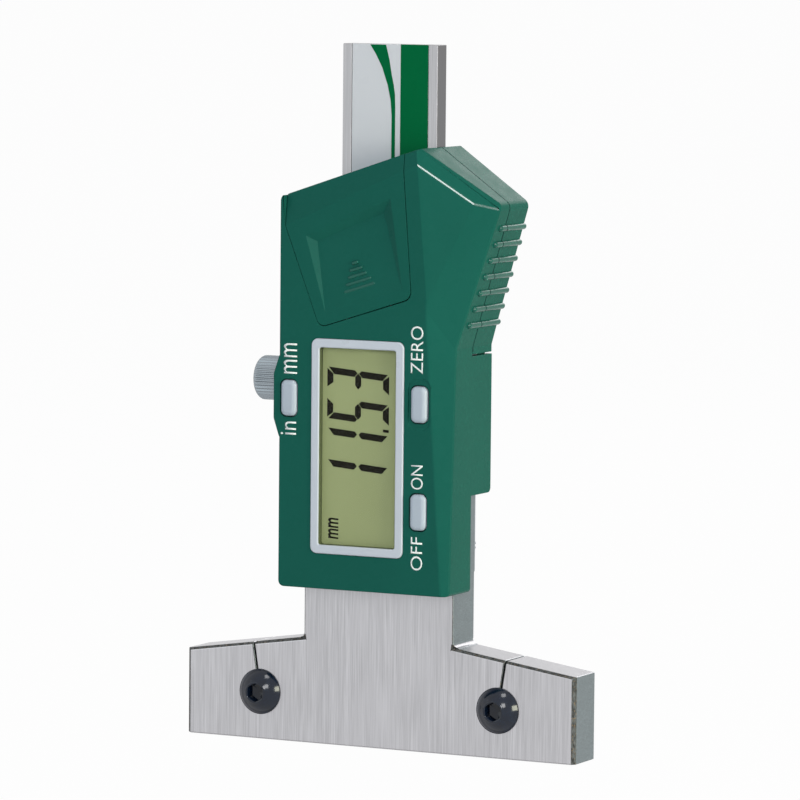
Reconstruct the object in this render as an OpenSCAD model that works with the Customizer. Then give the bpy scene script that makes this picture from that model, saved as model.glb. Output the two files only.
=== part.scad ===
// Digital depth caliper: a steel T base, a steel beam that slides through it,
// and a faceted two-part casing with a display, three buttons and a lock screw.
// X runs along the base, Y goes from the front (-) to the back (+), Z points up.
// The origin is the centre of the measuring face, the flat underside of the base.

/* [Base and frame] */
// Length of the measuring face
base_w = 66; // [60:1:90]
// Thickness of the base and the neck
base_t = 7; // [6.5:0.25:8]
// Height of the base at its ends
end_h = 13.2; // [12:0.2:14.6]
// Height of the shoulders beside the neck
shoulder_h = 16.2; // [15.4:0.2:18]
// Width of the neck and of the frame inside the casing
neck_w = 25.3; // [24.7:0.1:25.4]
// Fillet between shoulder and neck
neck_fillet = 0.8; // [0.3:0.1:1.5]
// Rough chamfer on the front edges of the wings
wing_chamfer = 0.6; // [0.3:0.1:0.8]
// Fine chamfer on the front edge of the measuring face
face_chamfer = 0.1; // [0.05:0.05:0.2]
// Steel in front of the beam
front_web = 2.36; // [2.1:0.02:2.5]
// Top of the frame
frame_top = 81; // [79:0.5:81.5]
// Lower edge of the frame's raised bridge
bridge_low = 73.6; // [73.2:0.2:76]

/* [Base screws] */
// Distance between the two base screws
base_screw_span = 40.4; // [38:0.2:44]
// Height of the base screws
base_screw_z = 7.3; // [6.8:0.1:7.8]
// Diameter of the domed head
button_head_d = 7; // [6.4:0.1:7.6]
// Height of the domed head
button_head_h = 2.1; // [1.8:0.1:2.4]
// Thread diameter of a base screw
base_thread_d = 4; // [3.4:0.1:4.4]
// Hexagon across the flats
hex_af = 2.5; // [2:0.1:3]
// Width of the wire-cut slits in the shoulders
slit_w = 0.22; // [0.15:0.01:0.35]
// Lean of the slits away from vertical
slit_lean = 9; // [6:1:12]

/* [Beam] */
// Width of the beam
beam_w = 16; // [15.6:0.1:16.2]
// Thickness of the beam
beam_t = 3; // [2.8:0.05:3.1]
// Length of the beam
beam_len = 106.7; // [104:0.5:130]
// Width of the scale recess
scale_w = 12.9; // [11.5:0.1:13.5]
// Lower end of the scale recess
scale_low = 12; // [9:0.5:16]
// Thickness of the scale strip
scale_t = 0.25; // [0.2:0.01:0.3]
// Thickness of the beam label
label_t = 0.15; // [0.1:0.01:0.18]
// Depth of the scale recess
recess_depth = 0.45; // [0.42:0.01:0.6]
// Clearance between beam and guide, each side
slide_gap = 0.04; // [0.02:0.01:0.06]

/* [Gib] */
// Thickness of the brass gib strip
gib_t = 0.8; // [0.6:0.05:0.9]
// Lower end of the gib strip
gib_low = 30; // [29:0.5:36]
// Upper end of the gib strip
gib_high = 71.5; // [70.6:0.1:72.4]
// Diameter of the two gib screws
gib_screw_d = 2; // [1.6:0.1:2.2]

/* [Casing outline] */
// Front face ahead of the parting plane
front_depth = 8; // [7.8:0.1:8.6]
// Rear face behind the parting plane
rear_depth = 6.7; // [6.4:0.1:7.4]
// Lower edge of the casing
casing_low = 24.4; // [23:0.2:25]
// Left side of the casing from the centreline
left_x = 14.9; // [14.7:0.05:15.2]
// Right side of the casing from the centreline
right_x = 13.75; // [13.6:0.05:14.1]
// Ridge of the roof from the centreline
ridge_x = 8.2; // [8:0.1:8.4]
// Height of the ridge
ridge_z = 91.4; // [91:0.2:93]
// Slope of the roof left of the ridge
left_slope = 18.3; // [17.4:0.1:18.6]
// Slope of the roof right of the ridge
right_slope = 35.5; // [34.5:0.5:36.5]
// Lean of the thumb face
thumb_lean = 15.8; // [15:0.2:16.6]
// Height where the thumb face starts
thumb_low = 61.5; // [61:0.1:62]
// How far the button bump stands out on the left
bump_out = 1; // [0.8:0.05:1.1]
// Lower edge of the side skirt
skirt_low = 39; // [36:0.5:44]
// Lower edge of the rear casing
rear_low = 60.4; // [60:0.1:61]
// Side wall
side_wall = 1.2; // [1:0.05:1.25]
// Front wall
front_wall = 1.5; // [1.4:0.05:1.6]
// Rear wall
rear_wall = 1.3; // [1.1:0.1:1.5]
// Seam between the casing parts
seam = 0.08; // [0.05:0.01:0.12]
// Gap between the side skirt and the rear casing above it
skirt_gap = 0.28; // [0.1:0.02:0.3]

/* [Facets] */
// Corner of the front face under the ridge, height
crown_z = 89; // [88.6:0.1:89.4]
// Corner of the front face where the facets meet, from the centreline
knee_x = 9.9; // [9.6:0.1:10.2]
// Corner of the front face where the facets meet, height
knee_z = 68.4; // [67.6:0.2:69]
// Outer corner between the facets, from the centreline
brow_x = 16.2; // [15.8:0.1:16.6]
// Outer corner between the facets, height
brow_z = 83.3; // [83:0.1:83.6]
// Outer corner between the facets, behind the front face
brow_drop = 2.85; // [2.6:0.05:3]
// Fall of the right side edge behind the front face at the thumb face
side_drop = 2.4; // [2.2:0.05:2.6]
// Fall of the right side edge behind the front face at the foot
foot_drop = 0.85; // [0.7:0.05:1]
// Fall of the roof band right of the ridge
band_drop = 1.1; // [0.9:0.05:1.2]
// Fall of the roof band left of the ridge
cover_band_drop = 0.65; // [0.5:0.05:0.8]

/* [Thumb ribs] */
// Number of ribs on the thumb face
rib_count = 7; // [5:1:7]
// Distance between ribs
rib_pitch = 2.43; // [2.2:0.01:2.45]
// Thickness of a rib
rib_d = 1; // [0.8:0.05:1.1]
// Height of the lowest rib
rib_low = 65; // [64:0.1:65.2]

/* [Battery cover] */
// Thickness of the cover
cover_t = 1.6; // [1.45:0.05:1.65]
// Gap round the cover
cover_gap = 0.12; // [0.08:0.01:0.16]
// Lean of the cover's two guide edges
guide_lean = 4.4; // [4:0.1:5]
// Width of the guide tongues
tongue_w = 0.7; // [0.4:0.05:0.8]
// Length of a guide tongue
tongue_len = 3; // [2:0.25:3.5]
// Travel of the cover before it lifts off
cover_travel = 12; // [6:1:13]
// Depth of the thumb recess at its upper end
thumb_depth = 0.75; // [0.5:0.05:0.8]
// Number of ridges in the arrow
arrow_ridges = 5; // [3:1:5]
// Distance between the arrow's ridges
arrow_pitch = 0.93; // [0.85:0.01:1]
// Length of the arrow's lowest ridge
arrow_len = 5; // [4.6:0.1:5.2]

/* [Display] */
// Width of the display bezel
bezel_w = 15.6; // [15:0.1:15.8]
// Height of the display bezel
bezel_h = 32.6; // [32:0.1:33]
// Border of the bezel
bezel_border = 1.35; // [1.1:0.05:1.5]
// Centre of the display from the centreline
display_x = -1.55; // [-1.6:0.05:-1.4]
// Height of the display's centre
display_z = 46.1; // [45.9:0.1:46.3]
// Thickness of the window
window_t = 0.8; // [0.6:0.05:0.9]
// Thickness of the display glass
glass_t = 1.6; // [1.4:0.05:1.7]

/* [Buttons] */
// Width of a button
button_w = 2.7; // [2.5:0.05:2.8]
// Height of a button
button_h = 5.5; // [5:0.1:5.8]
// How far a button stands out of the casing
button_out = 0.45; // [0.4:0.05:0.6]
// Travel of a button
button_travel = 0.4; // [0.3:0.05:0.4]
// Gap round a button
button_gap = 0.12; // [0.08:0.01:0.15]
// Unit button from the centreline
unit_x = -13.2; // [-13.25:0.05:-13.1]
// Zero and power buttons from the centreline
right_button_x = 8.78; // [8.6:0.02:8.8]
// Height of the unit and zero buttons
upper_button_z = 53.15; // [52.6:0.05:53.6]
// Height of the power button
power_z = 36.95; // [36.5:0.05:37.5]
// Depth of the finger scoop round the zero button
scoop_depth = 0.3; // [0.1:0.05:0.4]

/* [Lock screw] */
// Height of the lock screw
lock_z = 55.3; // [54.8:0.1:55.8]
// Diameter of the knurled knob
knob_d = 6.8; // [6.4:0.1:7]
// Length of the knurled knob
knob_len = 6.7; // [6:0.1:8]
// Thread diameter of the lock screw
lock_thread_d = 2.5; // [2.3:0.1:2.6]
// Travel of the lock screw in one turn
lock_travel = 0.45; // [0.35:0.01:0.45]

/* [Inside] */
// Diameter of the coin cell
cell_d = 20; // [19.5:0.1:20]
// Thickness of the coin cell
cell_t = 3.2; // [3:0.05:3.2]
// Thickness of the circuit board
board_t = 1; // [0.8:0.05:1.1]
// Distance of the board's sensing side from the beam
sensor_gap = 0.16; // [0.12:0.01:0.2]
// Thickness of the rear plate
plate_t = 0.4; // [0.3:0.05:0.5]
// Diameter of the small screws
small_screw_d = 1.6; // [1.4:0.1:1.8]

/* [Hidden] */
$fn = 48;
fine = 24;      // segments of small arcs in outlines
arc_steps = 6;  // steps of a rounded outline corner
eps = 0.01;     // overlap of joined shapes
big = 300;      // size of a cutting block

// Depths along Y. The parting plane of the casing is the middle of the base.
base_front = -base_t / 2;
base_back = base_t / 2;
face_y = -front_depth;
inner_face_y = face_y + front_wall;
facet_wall_y = face_y + side_drop + 0.7;  // inside of the thicker wall behind the facets
beam_front = base_front + front_web;
beam_back = beam_front + beam_t;
beam_mid = (beam_front + beam_back) / 2;
board_back = beam_front - sensor_gap;
board_front = board_back - board_t;
plate_back = base_back + plate_t;
cover_back = face_y + cover_t;
cell_front = cover_back + 0.2;
cell_back = cell_front + cell_t;
seat_gap = 0.05;  // gap of a piece that drops into its seat

// Base and frame
neck_x = neck_w / 2;
frame_step = casing_low + side_wall + 0.8;  // above this the frame is milled back
base_head_x = base_screw_span / 2;
slot_x = beam_w / 2 + slide_gap;
gib_x = slot_x + gib_t;
base_hole_d = base_thread_d + 0.08;
shoulder_rise = (shoulder_h - end_h) / (base_w / 2 - neck_x);

// Casing outline
left_top_z = ridge_z - (ridge_x + left_x) * tan(left_slope);
thumb_run = tan(thumb_lean);
corner_x = (right_x + thumb_run * (ridge_z + ridge_x * tan(right_slope) - thumb_low))
    / (1 + thumb_run * tan(right_slope));
corner_z = ridge_z - (corner_x - ridge_x) * tan(right_slope);
bump_low = upper_button_z - button_h / 2 - 3.4;
bump_high = upper_button_z + button_h / 2 + 3.9;
bump_ramp = 3;
rib_setback = 0.32;    // each rib starts this much further back than the one below
bump_back = beam_mid - knob_d / 2 - 0.35;
cavity_right = neck_x + 0.1;
cavity_left = left_x - side_wall;

// Corners of the faceted front
crown = [ridge_x - 0.05, face_y, crown_z];
knee = [knee_x, face_y, knee_z];
brow = [brow_x, face_y + brow_drop, brow_z];
side_top = [right_x, face_y + side_drop, thumb_low];
side_foot = [right_x, face_y + foot_drop, casing_low];
crease_top = [knee_x + 0.27, face_y, thumb_low];
crease_foot = [right_x - foot_drop * 1.3, face_y, casing_low];
band_right = [ridge_x, face_y + band_drop, ridge_z];
band_left = [ridge_x, face_y + cover_band_drop, ridge_z];

// Battery cover
guide_run = tan(guide_lean);
cover_edge_z = 79.2;   // where the cover's left guide edge starts
cover_left = left_x - 0.95;
bezel_top_z = display_z + bezel_h / 2;
cover_tip = [-8.07, bezel_top_z + 1.7];
cover_foot = [7.27, bezel_top_z + 6.6];
cover_lean = atan2(cover_foot[1] - cover_tip[1], cover_foot[0] - cover_tip[0]);
cover_top_z = ridge_z + 3;
cell_x = -3.4;
cell_z = 75;
contact_w = cell_d / 4;
contact_run = cell_d * 0.22;  // reach of the lower contact over the cell
contact_low_z = 67.5;  // where the contacts stand on the board
touch_gap = 0.02;      // gap of a contact to the coin cell
arrow_x = -1.42;
arrow_z = 70.3;
arrow_lean = 12.6;     // lean of the arrow as a whole
arrow_taper = 0.214;   // each ridge is shorter by this share of the lowest one
ridge_d = 0.5;
recess_foot = [[-7.1, 66.3], [5.8, 70.2]];    // where the recess floor meets the front face
recess_top = [[-10.5, 77.8], [3.7, 83.9]];    // upper corners of the recess on the front face
recess_inset = [[1.6, -0.8], [-1.3, -2.1]];   // from those to the corners of its floor

// Display and buttons
bezel_out = 0.2;
strip_h = bezel_border * 1.2;
carrier_open_w = bezel_w - 2 * bezel_border - 1;
carrier_open_h = bezel_h - 2 * bezel_border - 2.7 * strip_h;
board_w = neck_w + 0.4;
board_shift = -0.45;   // the board reaches further to the left, under the unit button
carrier_back = board_front - seat_gap;
window_front = face_y + 0.15;
glass_front = window_front + window_t + seat_gap;
glass_back = glass_front + glass_t;
flange_t = 0.5;
flange_front = inner_face_y + seat_gap;
dome_h = 0.55;
stem_back = board_front - dome_h - button_travel - 0.05;
stem_shift = 0.75;     // the unit button's stem lies further inside
rear_tongue_x = 4;     // inner edge of the rear casing's lower tongue

// Lock screw, along X. Its tip reaches the pad that presses the gib.
knob_in = left_x + 0.7;
knob_out = knob_in + knob_len;
pad_t = 0.8;
pad_face = gib_x + lock_travel + 0.05;
screw_tip = pad_face + pad_t + 0.02;
lock_hole_d = lock_thread_d + 0.08;

// Screws, as [x, z] places
boss_x = 11;
boss_low_z = 31;
boss_high_z = 64.6;
boss_d = 3;
head_d = small_screw_d * 1.75;
head_h = 0.8;
back_screw_at = [for (x = [-boss_x, boss_x]) for (z = [boss_low_z, boss_high_z]) [x, z]];
rear_screw_at = [[-10.4, 76.8], [10.2, 42]];
thumb_screw_at = [15.6, 76];
board_screw_at = [[-11, 37], [10.6, 45]];
gib_screw_z = [42.5, 68.5];
button_at = [[unit_x, upper_button_z], [right_button_x, upper_button_z],
    [right_button_x, power_z]];

// Colours
steel = "#b9b8bd";
dark_steel = "#8c979c";
casing_green = "#1b5a4c";
label_white = "#dcdee8";
grey_plastic = "#b0b8c4";
black_oxide = "#1a2430";

function unit(v) = v / norm(v);

// Points of one outline corner b between a and c, rounded with radius r
function corner_arc(a, b, c, r) =
    r <= 0 ? [b] :
    let (u = unit(a - b), v = unit(c - b), half = acos(u * v) / 2,
        mid = b + unit(u + v) * r / sin(half),
        p = b + u * r / tan(half) - mid, q = b + v * r / tan(half) - mid,
        start = atan2(p[1], p[0]), raw = atan2(q[1], q[0]) - start,
        turn = raw > 180 ? raw - 360 : raw < -180 ? raw + 360 : raw)
    [for (i = [0:arc_steps]) mid + r * [cos(start + turn * i / arc_steps),
        sin(start + turn * i / arc_steps)]];

// Outline from corners given as [x, y, radius]
function rounded(c) = let (n = len(c)) [for (i = [0:n - 1])
    let (a = c[(i + n - 1) % n], b = c[i], d = c[(i + 1) % n])
    each corner_arc([a[0], a[1]], [b[0], b[1]], [d[0], d[1]], b[2])];

// Extrudes an X-Z outline between two depths
module slab(y0, y1) {
    translate([0, y1, 0]) rotate([90, 0, 0]) linear_extrude(y1 - y0) children();
}

// Extrudes a Y-Z outline between two places along X
module slab_x(x0, x1) {
    translate([x0, 0, 0]) rotate([90, 0, 90]) linear_extrude(x1 - x0) children();
}

// Rectangle with true round corners, centred
module pill(w, h, r) {
    square([w - 2 * r, h], center = true);
    square([w, h - 2 * r], center = true);
    for (x = [-1, 1], y = [-1, 1])
        translate([x * (w / 2 - r), y * (h / 2 - r)]) circle(r = r, $fn = fine);
}

// Cylinder along Y between two depths
module pin_y(x, z, d, y0, y1) {
    translate([x, y1, z]) rotate([90, 0, 0]) cylinder(d = d, h = y1 - y0);
}

// Cylinder along X between two places
module pin_x(z, d, x0, x1) {
    translate([x0, beam_mid, z]) rotate([0, 90, 0]) cylinder(d = d, h = x1 - x0);
}

// Block with one face on the plane through three points, on the front side of it
module ahead_of(a, b, c) {
    n0 = unit(cross(b - a, c - a));
    n = n0[1] < 0 ? n0 : -n0;
    translate(a) rotate([0, acos(n[2]), atan2(n[1], n[0])])
        translate([-big / 2, -big / 2, 0]) cube(big);
}

// Cuts a chamfer along a front edge from a to b, both X-Z points on the front face
module front_chamfer(a, b, size) {
    d = b - a;
    translate([a[0], base_front, a[1]]) rotate([0, -atan2(d[1], d[0]), 0])
        translate([-1, 0, 0]) rotate([45, 0, 0])
        translate([0, -size * sqrt(2) / 2, -size * sqrt(2) / 2])
        cube([norm(d) + 2, size * sqrt(2), size * sqrt(2)]);
}

// Front outline of the base with its shoulders and neck
module base_outline() {
    hx = base_w / 2;
    polygon([[-hx, 0], [hx, 0], [hx, end_h], [neck_x, shoulder_h], [neck_x, frame_step],
        [-neck_x, frame_step], [-neck_x, shoulder_h], [-hx, end_h]]);
    for (side = [-1, 1]) on_side(side) difference() {
        translate([neck_x - eps, shoulder_h - neck_fillet])
            square([neck_fillet + eps, 2 * neck_fillet]);
        translate([neck_x + neck_fillet, shoulder_h + neck_fillet])
            circle(r = neck_fillet, $fn = fine);
    }
}

// Mirrors its child to the left for a side of -1
module on_side(side) {
    if (side < 0) mirror([1, 0, 0]) children();
    else children();
}

// Wire-cut slit that runs from a shoulder down to the screw hole
module slit(side) {
    on_side(side) translate([base_head_x, base_front - 1, base_screw_z])
        rotate([0, slit_lean, 0]) translate([-slit_w / 2, 0, 0])
        cube([slit_w, base_t + 2, shoulder_h]);
}

module base_frame() {
    hx = base_w / 2;
    color(steel) difference() {
        union() {
            slab(base_front, base_back) base_outline();
            translate([-neck_x, board_back, frame_step - eps])
                cube([neck_w, base_back - board_back, frame_top - frame_step + eps]);
            translate([-neck_x, cell_back + 0.15, bridge_low])
                cube([neck_w, board_back - cell_back, frame_top - bridge_low]);
        }
        translate([-slot_x, beam_front - slide_gap, -1])
            cube([2 * slot_x, beam_t + 2 * slide_gap, frame_top + 2]);
        translate([-slot_x, board_back - 1, frame_step])
            cube([2 * slot_x, beam_mid - board_back + 1, bridge_low - frame_step]);
        translate([-gib_x - seat_gap, beam_front - slide_gap, gib_low - seat_gap])
            cube([gib_t + 1, beam_t + 2 * slide_gap, gib_high - gib_low + 2 * seat_gap]);
        translate([-gib_x - seat_gap, board_back - 1, gib_low - seat_gap])
            cube([gib_t + 1, beam_mid - board_back + 1, gib_high - gib_low + 2 * seat_gap]);
        for (s = [-1, 1]) {
            pin_y(s * base_head_x, base_screw_z, base_hole_d, base_front - 1, base_back + 1);
            slit(s);
            front_chamfer([s * hx, 0], [s * hx, end_h], wing_chamfer);
            front_chamfer([s * (neck_x + neck_fillet), end_h + (hx - neck_x - neck_fillet)
                * shoulder_rise], [s * hx, end_h], wing_chamfer * 0.65);
        }
        front_chamfer([-hx, 0], [hx, 0], face_chamfer);
        pin_x(lock_z, lock_hole_d, -neck_x - 1, -slot_x - gib_t / 2);
        for (z = gib_screw_z) pin_x(z, gib_screw_d + 0.06, -neck_x - 1, -slot_x - gib_t / 2);
        for (p = back_screw_at) pin_y(p[0], p[1], small_screw_d + 0.2, -front_depth, base_back + 1);
        for (p = rear_screw_at) pin_y(p[0], p[1], small_screw_d + 0.06, 0, base_back + 1);
        for (p = board_screw_at) pin_y(p[0], p[1], small_screw_d + 0.06, board_back - 1, base_back - 1);
    }
}

module beam() {
    color(steel) difference() {
        translate([-beam_w / 2, beam_front, 0]) cube([beam_w, beam_t, beam_len]);
        translate([-scale_w / 2, beam_front - 1, scale_low])
            cube([scale_w, recess_depth + 1, beam_len]);
    }
}

module scale_strip() {
    floor_y = beam_front + recess_depth;
    color("#7c6a3a") translate([-scale_w / 2 + seat_gap, floor_y - scale_t, scale_low + seat_gap])
        cube([scale_w - 2 * seat_gap, scale_t, beam_len - scale_low - seat_gap]);
}

module beam_label() {
    floor_y = beam_front + recess_depth - scale_t;
    color(label_white)
        translate([-scale_w / 2 + seat_gap, floor_y - label_t, scale_low + seat_gap])
        cube([scale_w - 2 * seat_gap, label_t, beam_len - scale_low - seat_gap]);
}

module gib_strip() {
    color("#b08d4a") translate([-gib_x, beam_front, gib_low])
        cube([gib_t, beam_t, gib_high - gib_low]);
}

module gib_screws() {
    color(black_oxide) for (z = gib_screw_z) difference() {
        pin_x(z, gib_screw_d, -neck_x + 0.1, -gib_x);
        translate([-neck_x, beam_mid - gib_screw_d, z - 0.15]) cube([0.6, 2 * gib_screw_d, 0.3]);
    }
}

// Knurled knob and threaded shank in one piece
module lock_screw() {
    color(dark_steel) {
        difference() {
            pin_x(lock_z, knob_d, -knob_out, -knob_in);
            translate([-knob_out, beam_mid, lock_z]) rotate([0, 90, 0]) rotate_extrude()
                difference() {
                    translate([knob_d / 2 - 0.6, -1]) square([2, 1.6]);
                    translate([knob_d / 2 - 0.6, 0.6]) circle(r = 0.6, $fn = fine);
                }
        }
        pin_x(lock_z, lock_thread_d, -knob_in - 1, -screw_tip);
    }
}

module lock_pad() {
    color("#b08d4a") pin_x(lock_z, lock_thread_d - 0.1, -pad_face - pad_t, -pad_face);
}

module rear_plate() {
    color(dark_steel) difference() {
        slab(base_back, plate_back) translate([0, (frame_step + frame_top) / 2])
            pill(neck_w - 0.1, frame_top - frame_step - 0.4, 0.8);
        for (p = concat(back_screw_at, rear_screw_at))
            pin_y(p[0], p[1], small_screw_d + 0.2, base_back - 1, plate_back + 1);
    }
}

// Pan-head screw with a straight slot, head towards the back
module small_screw(p, head_y, tip_y) {
    difference() {
        union() {
            pin_y(p[0], p[1], head_d, head_y, head_y + head_h);
            pin_y(p[0], p[1], small_screw_d, tip_y, head_y + head_h / 2);
        }
        translate([p[0] - head_d, head_y + head_h * 0.6, p[1] - 0.18])
            cube([2 * head_d, head_h, 0.36]);
    }
}

module back_screws() {
    color(dark_steel) for (p = back_screw_at) small_screw(p, plate_back, board_front - 1.2);
}

// Outline of the casing seen from the front, shared by both shells
function casing_outline() = rounded([
    [-left_x, casing_low, 0.9], [-left_x, left_top_z, 1.3], [ridge_x, ridge_z, 0.3],
    [corner_x, corner_z, 1.3], [right_x, thumb_low, 0], [right_x, casing_low, 0.6]]);

function bump_outline() = rounded([
    [-left_x + 1, bump_low, 0], [-left_x, bump_low, 0.6],
    [-left_x - bump_out, bump_low + bump_ramp, 1.2],
    [-left_x - bump_out, bump_high - bump_ramp, 1.2], [-left_x, bump_high, 0.6],
    [-left_x + 1, bump_high, 0]]);

// Space inside both shells: left wall, frame side, roof and foot
function cavity_outline() = [[-cavity_left, casing_low + side_wall],
    [-cavity_left, left_top_z - side_wall], [ridge_x, ridge_z - side_wall * 1.3],
    [cavity_right, ridge_z - side_wall * 1.3 - (cavity_right - ridge_x) * tan(right_slope)],
    [cavity_right, casing_low + side_wall]];

// Core pocket in the thumb block
function thumb_pocket() = [[cavity_right + 1, thumb_low + 5],
    [cavity_right + 1, corner_z - 1.8], [corner_x - 3.2, corner_z - 1.8]];

function cover_outline(grow = 0) = rounded([
    [cover_tip[0] - grow * 0.3, cover_tip[1] - grow, 1.2],
    [cover_foot[0] + grow, cover_foot[1] - grow * 1.1, 1.5],
    [cover_foot[0] + grow - (cover_top_z - cover_foot[1]) * guide_run, cover_top_z, 0],
    [-cover_left - grow - (cover_top_z - cover_edge_z) * guide_run, cover_top_z, 0],
    [-cover_left - grow, cover_edge_z, 0.4]]);

// Tongues under the casing wall: one on the right guide edge and one at the foot.
// A run above 0 lengthens the right one into the groove that it slides in.
module tongue_outline(extra = 0, run = 0) {
    low = cover_foot[1] + 2.4 - extra;
    high = low + tongue_len + run + 2 * extra;
    x0 = cover_foot[0] - (low - cover_foot[1]) * guide_run;
    x1 = cover_foot[0] - (high - cover_foot[1]) * guide_run;
    w = tongue_w + extra;
    polygon([[x0 - 0.5, low], [x0 + w, low], [x1 + w, high], [x1 - 0.5, high]]);
    translate((cover_tip + cover_foot) / 2) rotate(cover_lean)
        square([2 * tongue_len + 2 * extra, 2 * w], center = true);
}

// What the facets and the roof bands take off the front
module facet_cuts() {
    ahead_of(crown, knee, brow);
    intersection() {
        ahead_of(knee, brow, side_top);
        ahead_of(crease_top, crease_foot, side_top);
    }
    ahead_of(crown, brow, band_right);
    intersection() {
        ahead_of(crown, [-cover_left, face_y, cover_edge_z], band_left);
        slab(face_y - 1, cover_back + 2) polygon([
            [-cover_left, cover_edge_z], [ridge_x + 2, cover_edge_z], [ridge_x + 2, cover_top_z],
            [-cover_left - (cover_top_z - cover_edge_z) * guide_run, cover_top_z]]);
    }
}

// Ribs on the thumb face between two depths; they start further back higher up
module thumb_ribs(y0, y1) {
    for (i = [0:rib_count - 1]) {
        z = rib_low + i * rib_pitch;
        x = right_x + (z - thumb_low) * thumb_run;
        start = max(y0, base_front + 0.1 + rib_setback * i);
        if (start < y1) {
            pin_y(x, z, rib_d, start, y1);
            if (start > y0) translate([x, start, z]) sphere(d = rib_d, $fn = fine);
        }
    }
}

module button_holes() {
    for (p = button_at) slab(face_y - 1, inner_face_y + 1) translate(p)
        pill(button_w + 2 * button_gap, button_h + 2 * button_gap, 0.9 + button_gap);
}

// Finger scoop: a shallow cylinder across the zero button, cut to a pill outline
module button_scoop() {
    p = button_at[1];
    scoop_h = button_h + 2.2;
    scoop_w = button_w + 1;
    scoop_r = (scoop_h * scoop_h / 4 + scoop_depth * scoop_depth) / (2 * scoop_depth);
    intersection() {
        translate([p[0] - scoop_w, face_y + scoop_depth - scoop_r, p[1]]) rotate([0, 90, 0])
            cylinder(r = scoop_r, h = 2 * scoop_w);
        slab(face_y - 1, face_y + 1) translate(p) pill(scoop_w, scoop_h, 1.5);
    }
}

// Wall that a screw boss stands on. The upper right one has the facets' wall.
function boss_root(p) = p[0] > 0 && p[1] > upper_button_z ? facet_wall_y : inner_face_y;

module front_casing() {
    color(casing_green) difference() {
        union() {
            difference() {
                union() {
                    slab(face_y, 0) polygon(casing_outline());
                    slab(face_y, bump_back) polygon(bump_outline());
                    thumb_ribs(face_y, 0);
                }
                facet_cuts();
                slab(inner_face_y, 1) intersection() {
                    polygon(cavity_outline());
                    translate([-big / 2, 0]) square([big / 2 + knee_x - 1.2, big]);
                }
                slab(facet_wall_y, 1) polygon(cavity_outline());
                slab(inner_face_y, 1) translate([knee_x - 2, casing_low + side_wall])
                    square([right_button_x + button_w / 2 + 0.45 - knee_x + 2,
                        upper_button_z + button_h / 2 + 0.5 - casing_low - side_wall]);
                slab(-2.6, 1) polygon(thumb_pocket());
                slab(inner_face_y, bump_back - 1) translate([-left_x - bump_out + side_wall,
                    upper_button_z - button_h / 2 - 0.4]) square([3, button_h + 0.8]);
                translate([-cavity_right, base_front - 0.1, casing_low - 1])
                    cube([2 * cavity_right, base_t, side_wall + 2]);
                translate([-slot_x - 0.11, beam_front - 0.15, frame_top])
                    cube([2 * slot_x + 0.22, base_t, ridge_z]);
            }
            slab_x(cavity_right, right_x) polygon(rounded([[-1, skirt_low, 0],
                [rear_depth, skirt_low, 0.8], [rear_depth, rear_low - skirt_gap, 0],
                [-1, rear_low - skirt_gap, 0]]));
            for (p = back_screw_at) pin_y(p[0], p[1], boss_d, boss_root(p) - eps, board_back);
            pin_y(thumb_screw_at[0], thumb_screw_at[1], boss_d, -2.7, 0);
        }
        slab(face_y - 1, face_y + cover_t - 0.8) polygon(cover_outline(cover_gap));
        slab(face_y + cover_t - 0.8 - eps, inner_face_y + 0.4) {
            polygon(cover_outline(cover_gap));
            tongue_outline(cover_gap, cover_travel);
        }
        slab(face_y - 1, inner_face_y + 1) translate([display_x, display_z])
            pill(bezel_w + 2 * seat_gap, bezel_h + 2 * seat_gap, 1.1);
        button_holes();
        button_scoop();
        pin_x(lock_z, lock_thread_d + 0.8, -left_x - 2, -neck_x);
        for (p = back_screw_at)
            pin_y(p[0], p[1], small_screw_d + 0.02, board_front - 2, board_back + 1);
        pin_y(thumb_screw_at[0], thumb_screw_at[1], small_screw_d + 0.02, -2.2, 1);
    }
}

module rear_casing() {
    color(casing_green) difference() {
        union() {
            difference() {
                union() {
                    slab(seam, rear_depth) intersection() {
                        polygon(casing_outline());
                        translate([-big / 2, rear_low]) square(big);
                    }
                    thumb_ribs(seam, rear_depth);
                }
                slab(0, rear_depth - rear_wall) intersection() {
                    polygon(cavity_outline());
                    translate([-big / 2, rear_low - 1]) square(big);
                }
                slab(0, rear_depth - rear_wall) polygon(thumb_pocket());
            }
            slab(plate_back + seat_gap, rear_depth) polygon(rounded([
                [rear_tongue_x, skirt_low + 0.3, 1.2], [cavity_right - seam, skirt_low + 0.3, 0.5],
                [cavity_right - seam, rear_low + 1, 0], [rear_tongue_x, rear_low + 1, 0]]));
            for (p = rear_screw_at)
                pin_y(p[0], p[1], boss_d + 1.2, plate_back + seat_gap, rear_depth - eps);
            pin_y(thumb_screw_at[0], thumb_screw_at[1], boss_d, seam, rear_depth - eps);
        }
        translate([-slot_x - 0.11, -1, frame_top])
            cube([2 * slot_x + 0.22, beam_back + 1.15, ridge_z]);
        for (p = concat(rear_screw_at, [thumb_screw_at])) {
            pin_y(p[0], p[1], small_screw_d + 0.2, -1, rear_depth + 1);
            pin_y(p[0], p[1], head_d + 0.3, rear_depth - 1.2, rear_depth + 1);
        }
    }
}

module rear_casing_screws() {
    color(black_oxide) {
        for (p = rear_screw_at) small_screw(p, rear_depth - 1.2, 1);
        small_screw(thumb_screw_at, rear_depth - 1.2, -1.8);
    }
}

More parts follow.
